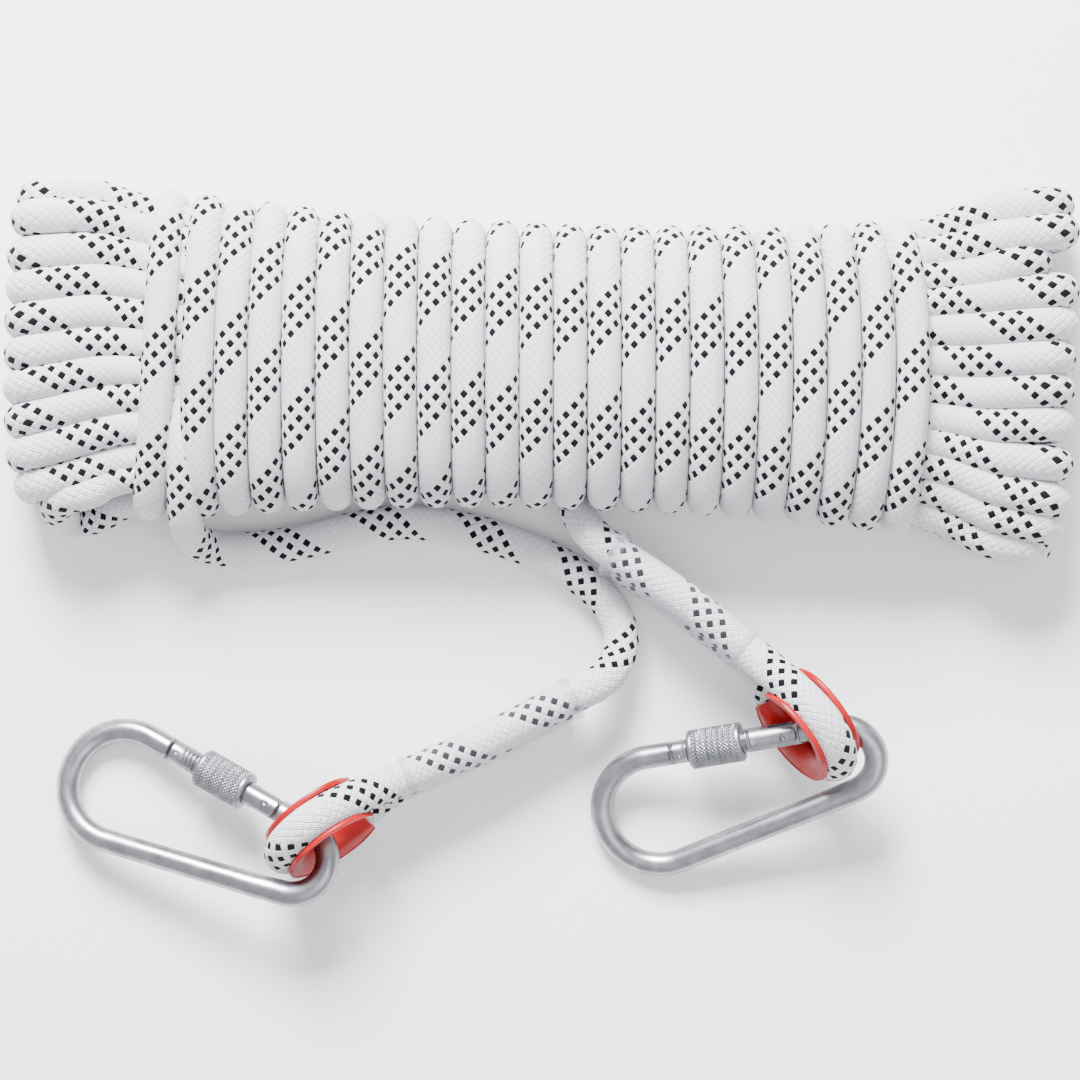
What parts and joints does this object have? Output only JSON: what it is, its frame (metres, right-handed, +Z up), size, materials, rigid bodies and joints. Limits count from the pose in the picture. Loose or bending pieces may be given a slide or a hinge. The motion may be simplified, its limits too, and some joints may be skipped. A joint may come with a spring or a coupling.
{
  "type": "escape rope with carabiners",
  "caption": "Kernmantle escape rope wound in a wrapped hank, each end spliced round a thimble that holds a screw-lock carabiner.",
  "frame": {"origin": "middle of the hank's flat underside, on the floor", "axes": "+X along the hank towards the right-hand hook, +Y away from the hooks, +Z up"},
  "size_m": [0.297, 0.2025, 0.0463],
  "materials": {
    "rope": "white braided sheath with black tracer yarns",
    "thimble": "moulded red plastic",
    "clear_sleeve": "clear heat-shrink tube",
    "zinc_steel": "zinc plated bent rod",
    "knurled_nut": "zinc plated, fine diamond knurl",
    "pins_and_spring": "bare steel"
  },
  "bodies": {
    "rope": {"rope_hank_loops": "rope", "rope_hank_wrapping": "rope", "rope_tail_left": "rope", "thimble_left": "thimble", "splice_sleeve_left": "clear_sleeve", "rope_tail_right": "rope", "thimble_right": "thimble", "splice_sleeve_right": "clear_sleeve"},
    "carabiner_left": {"carabiner_body_left": "zinc_steel"},
    "gate_left": {"gate_left": "zinc_steel", "gate_hinge_pin_left": "pins_and_spring", "gate_latch_pin_left": "pins_and_spring"},
    "plunger_left": {"gate_plunger_left": "pins_and_spring", "gate_spring_left": "pins_and_spring"},
    "lock_nut_left": {"lock_nut_left": "knurled_nut"},
    "carabiner_right": {"carabiner_body_right": "zinc_steel"},
    "gate_right": {"gate_right": "zinc_steel", "gate_hinge_pin_right": "pins_and_spring", "gate_latch_pin_right": "pins_and_spring"},
    "plunger_right": {"gate_plunger_right": "pins_and_spring", "gate_spring_right": "pins_and_spring"},
    "lock_nut_right": {"lock_nut_right": "knurled_nut"}
  },
  "joints": [
    {"name": "carabiner_swing_left", "type": "hinge", "parent": "rope", "child": "carabiner_left", "pos_m": [-0.0599, -0.1278, 0.0185], "axis": [-0.5587, 0.7797, -0.2826], "range_deg": [-30, 90]},
    {"name": "gate_hinge_left", "type": "hinge", "parent": "carabiner_left", "child": "gate_left", "pos_m": [-0.07589, -0.12174, 0.01537], "axis": [-0.1713, 0.175, 0.9696], "range_deg": [0, 25], "stiffness_Nm_per_rad": 0.12, "springref_deg": -17.19},
    {"name": "gate_plunger_slide_left", "type": "slide", "parent": "gate_left", "child": "plunger_left", "axis": [-0.8565, 0.4598, -0.2343], "range_m": [0, 0.00034], "deforming": ["gate_spring_left"]},
    {"name": "lock_nut_travel_left", "type": "slide", "parent": "gate_left", "child": "lock_nut_left", "axis": [-0.8565, 0.4598, -0.2343], "range_m": [0, 0.0133]},
    {"name": "carabiner_swing_right", "type": "hinge", "parent": "rope", "child": "carabiner_right", "pos_m": [0.0735, -0.0987, 0.0223], "axis": [0.7791, 0.5634, -0.2749], "range_deg": [-30, 90]},
    {"name": "gate_hinge_right", "type": "hinge", "parent": "carabiner_right", "child": "gate_right", "pos_m": [0.06773, -0.10217, 0.0187], "axis": [-0.1607, -0.2273, 0.9605], "range_deg": [0, 25], "stiffness_Nm_per_rad": 0.12, "springref_deg": -17.19},
    {"name": "gate_plunger_slide_right", "type": "slide", "parent": "gate_right", "child": "plunger_right", "axis": [-0.9639, -0.1731, -0.2022], "range_m": [0, 0.00034], "deforming": ["gate_spring_right"]},
    {"name": "lock_nut_travel_right", "type": "slide", "parent": "gate_right", "child": "lock_nut_right", "axis": [-0.9639, -0.1731, -0.2022], "range_m": [-0.0049, 0.0084]}
  ],
  "couplings": [
    {"joint": "gate_plunger_slide_left", "follows": "gate_hinge_left", "m_per_rad": 0.000775},
    {"joint": "gate_plunger_slide_right", "follows": "gate_hinge_right", "m_per_rad": 0.000775}
  ]
}
